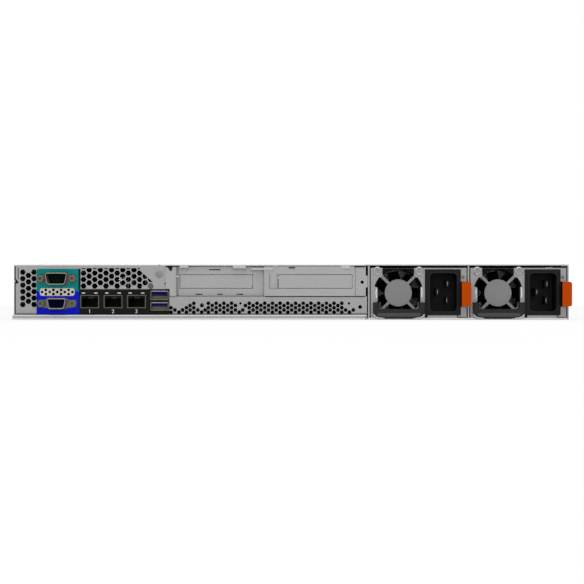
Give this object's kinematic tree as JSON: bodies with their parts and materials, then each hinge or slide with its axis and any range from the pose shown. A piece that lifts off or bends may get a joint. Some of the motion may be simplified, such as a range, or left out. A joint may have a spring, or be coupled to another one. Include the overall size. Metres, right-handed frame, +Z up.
{
  "type": "1u rack server",
  "caption": "Flat rack-mount server with perforated rear panel, network and serial ports, riser bracket, slide-out power supplies, fan row and front drive bays.",
  "frame": {"origin": "middle of the underside of the chassis", "axes": "+Z up; -Y towards the rear side with the connectors; +X to the right seen from the rear"},
  "size_m": [0.4826, 0.7366, 0.043],
  "materials": {
    "bare_aluminium": "extruded aluminium",
    "black_plastic": "black moulded plastic",
    "brass_post": "turned brass",
    "drive_metal": "cast aluminium drive housing",
    "galvanised_steel": "satin zinc-coated sheet steel, faintly brushed",
    "green_board": "solder-masked circuit board",
    "label_black": "black printed plastic label",
    "label_teal_blue": "printed plastic label, teal above and blue below",
    "nickel_shell": "nickel-plated connector shell",
    "orange_plastic": "orange moulded plastic",
    "painted_black_steel": "black powder coat",
    "plated_screw": "bright plated steel"
  },
  "bodies": {
    "chassis": {"chassis_tray": "galvanised_steel", "rear_panel": "galvanised_steel", "port_label": "label_teal_blue", "io_label": "label_black", "serial_connector": "nickel_shell", "vga_connector": "nickel_shell", "jackscrews": "nickel_shell", "network_jacks": "nickel_shell", "usb_ports": "nickel_shell", "riser_bracket": "galvanised_steel", "slot_blanks": "galvanised_steel", "riser_card": "green_board", "psu_cage": "galvanised_steel", "motherboard": "green_board", "board_standoffs": "brass_post", "memory_modules": "green_board", "cpu_heatsinks": "bare_aluminium", "fan_frames": "black_plastic", "drive_cage": "galvanised_steel", "backplane": "green_board", "front_panel": "black_plastic", "rack_ear_left": "painted_black_steel", "rack_ear_right": "painted_black_steel", "front_cover": "galvanised_steel"},
    "top_cover": {"top_cover": "galvanised_steel"},
    "cover_latch": {"cover_latch": "black_plastic"},
    "power_button": {"power_button": "black_plastic"},
    "psu_1": {"psu_case_1": "galvanised_steel", "psu_fan_guard_1": "galvanised_steel", "psu_fan_frame_1": "black_plastic", "psu_screws_1": "plated_screw", "power_inlet_1": "black_plastic", "inlet_blades_1": "plated_screw"},
    "psu_handle_1": {"psu_handle_1": "black_plastic"},
    "psu_release_tab_1": {"psu_release_tab_1": "orange_plastic"},
    "psu_fan_rotor_1": {"psu_fan_rotor_1": "black_plastic"},
    "psu_2": {"psu_case_2": "galvanised_steel", "psu_fan_guard_2": "galvanised_steel", "psu_fan_frame_2": "black_plastic", "psu_screws_2": "plated_screw", "power_inlet_2": "black_plastic", "inlet_blades_2": "plated_screw"},
    "psu_handle_2": {"psu_handle_2": "black_plastic"},
    "psu_release_tab_2": {"psu_release_tab_2": "orange_plastic"},
    "psu_fan_rotor_2": {"psu_fan_rotor_2": "black_plastic"},
    "fan_rotor_1": {"fan_rotor_1": "black_plastic"},
    "fan_rotor_2": {"fan_rotor_2": "black_plastic"},
    "fan_rotor_3": {"fan_rotor_3": "black_plastic"},
    "fan_rotor_4": {"fan_rotor_4": "black_plastic"},
    "fan_rotor_5": {"fan_rotor_5": "black_plastic"},
    "fan_rotor_6": {"fan_rotor_6": "black_plastic"},
    "drive_1": {"drive_carrier_1": "black_plastic", "hard_drive_1": "drive_metal"},
    "carrier_lever_1": {"carrier_lever_1": "black_plastic"},
    "drive_2": {"drive_carrier_2": "black_plastic", "hard_drive_2": "drive_metal"},
    "carrier_lever_2": {"carrier_lever_2": "black_plastic"},
    "drive_3": {"drive_carrier_3": "black_plastic", "hard_drive_3": "drive_metal"},
    "carrier_lever_3": {"carrier_lever_3": "black_plastic"}
  },
  "joints": [
    {"name": "cover_slide", "type": "slide", "parent": "chassis", "child": "top_cover", "axis": [0, -1, 0], "range_m": [0, 0.012]},
    {"name": "cover_latch_turn", "type": "hinge", "parent": "top_cover", "child": "cover_latch", "pos_m": [0, -0.0553, 0.0408], "axis": [1, 0, 0], "range_deg": [0, 75]},
    {"name": "power_button_press", "type": "slide", "parent": "chassis", "child": "power_button", "axis": [0, -1, 0], "range_m": [0, 0.0015], "stiffness_N_per_m": 400},
    {"name": "psu_1_slide", "type": "slide", "parent": "chassis", "child": "psu_1", "axis": [0, -1, 0], "range_m": [0, 0.21]},
    {"name": "psu_handle_1_turn", "type": "hinge", "parent": "psu_1", "child": "psu_handle_1", "pos_m": [0.08405, -0.3579, 0.012], "axis": [-1, 0, 0], "range_deg": [0, 90]},
    {"name": "psu_release_tab_1_turn", "type": "hinge", "parent": "psu_1", "child": "psu_release_tab_1", "pos_m": [0.1351, -0.3095, 0.01985], "axis": [0, 0, -1], "range_deg": [0, 2], "stiffness_Nm_per_rad": 2},
    {"name": "psu_fan_1_spin", "type": "hinge", "parent": "psu_1", "child": "psu_fan_rotor_1", "pos_m": [0.0837, -0.3533, 0.0208], "axis": [0, 1, 0], "continuous": true},
    {"name": "psu_2_slide", "type": "slide", "parent": "chassis", "child": "psu_2", "axis": [0, -1, 0], "range_m": [0, 0.21]},
    {"name": "psu_handle_2_turn", "type": "hinge", "parent": "psu_2", "child": "psu_handle_2", "pos_m": [0.16205, -0.3579, 0.012], "axis": [-1, 0, 0], "range_deg": [0, 90]},
    {"name": "psu_release_tab_2_turn", "type": "hinge", "parent": "psu_2", "child": "psu_release_tab_2", "pos_m": [0.2131, -0.3095, 0.01985], "axis": [0, 0, -1], "range_deg": [0, 2], "stiffness_Nm_per_rad": 2},
    {"name": "psu_fan_2_spin", "type": "hinge", "parent": "psu_2", "child": "psu_fan_rotor_2", "pos_m": [0.1617, -0.3533, 0.0208], "axis": [0, 1, 0], "continuous": true},
    {"name": "fan_1_spin", "type": "hinge", "parent": "chassis", "child": "fan_rotor_1", "pos_m": [-0.165, 0.0186, 0.02], "axis": [0, 1, 0], "continuous": true},
    {"name": "fan_2_spin", "type": "hinge", "parent": "chassis", "child": "fan_rotor_2", "pos_m": [-0.099, 0.0186, 0.02], "axis": [0, 1, 0], "continuous": true},
    {"name": "fan_3_spin", "type": "hinge", "parent": "chassis", "child": "fan_rotor_3", "pos_m": [-0.033, 0.0186, 0.02], "axis": [0, 1, 0], "continuous": true},
    {"name": "fan_4_spin", "type": "hinge", "parent": "chassis", "child": "fan_rotor_4", "pos_m": [0.033, 0.0186, 0.02], "axis": [0, 1, 0], "continuous": true},
    {"name": "fan_5_spin", "type": "hinge", "parent": "chassis", "child": "fan_rotor_5", "pos_m": [0.099, 0.0186, 0.02], "axis": [0, 1, 0], "continuous": true},
    {"name": "fan_6_spin", "type": "hinge", "parent": "chassis", "child": "fan_rotor_6", "pos_m": [0.165, 0.0186, 0.02], "axis": [0, 1, 0], "continuous": true},
    {"name": "drive_1_slide", "type": "slide", "parent": "chassis", "child": "drive_1", "axis": [0, 1, 0], "range_m": [0, 0.17]},
    {"name": "carrier_lever_1_turn", "type": "hinge", "parent": "drive_1", "child": "carrier_lever_1", "pos_m": [-0.2057, 0.3647, 0.0153], "axis": [0, 0, 1], "range_deg": [0, 60]},
    {"name": "drive_2_slide", "type": "slide", "parent": "chassis", "child": "drive_2", "axis": [0, 1, 0], "range_m": [0, 0.17]},
    {"name": "carrier_lever_2_turn", "type": "hinge", "parent": "drive_2", "child": "carrier_lever_2", "pos_m": [-0.0937, 0.3647, 0.0153], "axis": [0, 0, 1], "range_deg": [0, 60]},
    {"name": "drive_3_slide", "type": "slide", "parent": "chassis", "child": "drive_3", "axis": [0, 1, 0], "range_m": [0, 0.17]},
    {"name": "carrier_lever_3_turn", "type": "hinge", "parent": "drive_3", "child": "carrier_lever_3", "pos_m": [0.0183, 0.3647, 0.0153], "axis": [0, 0, 1], "range_deg": [0, 60]}
  ]
}
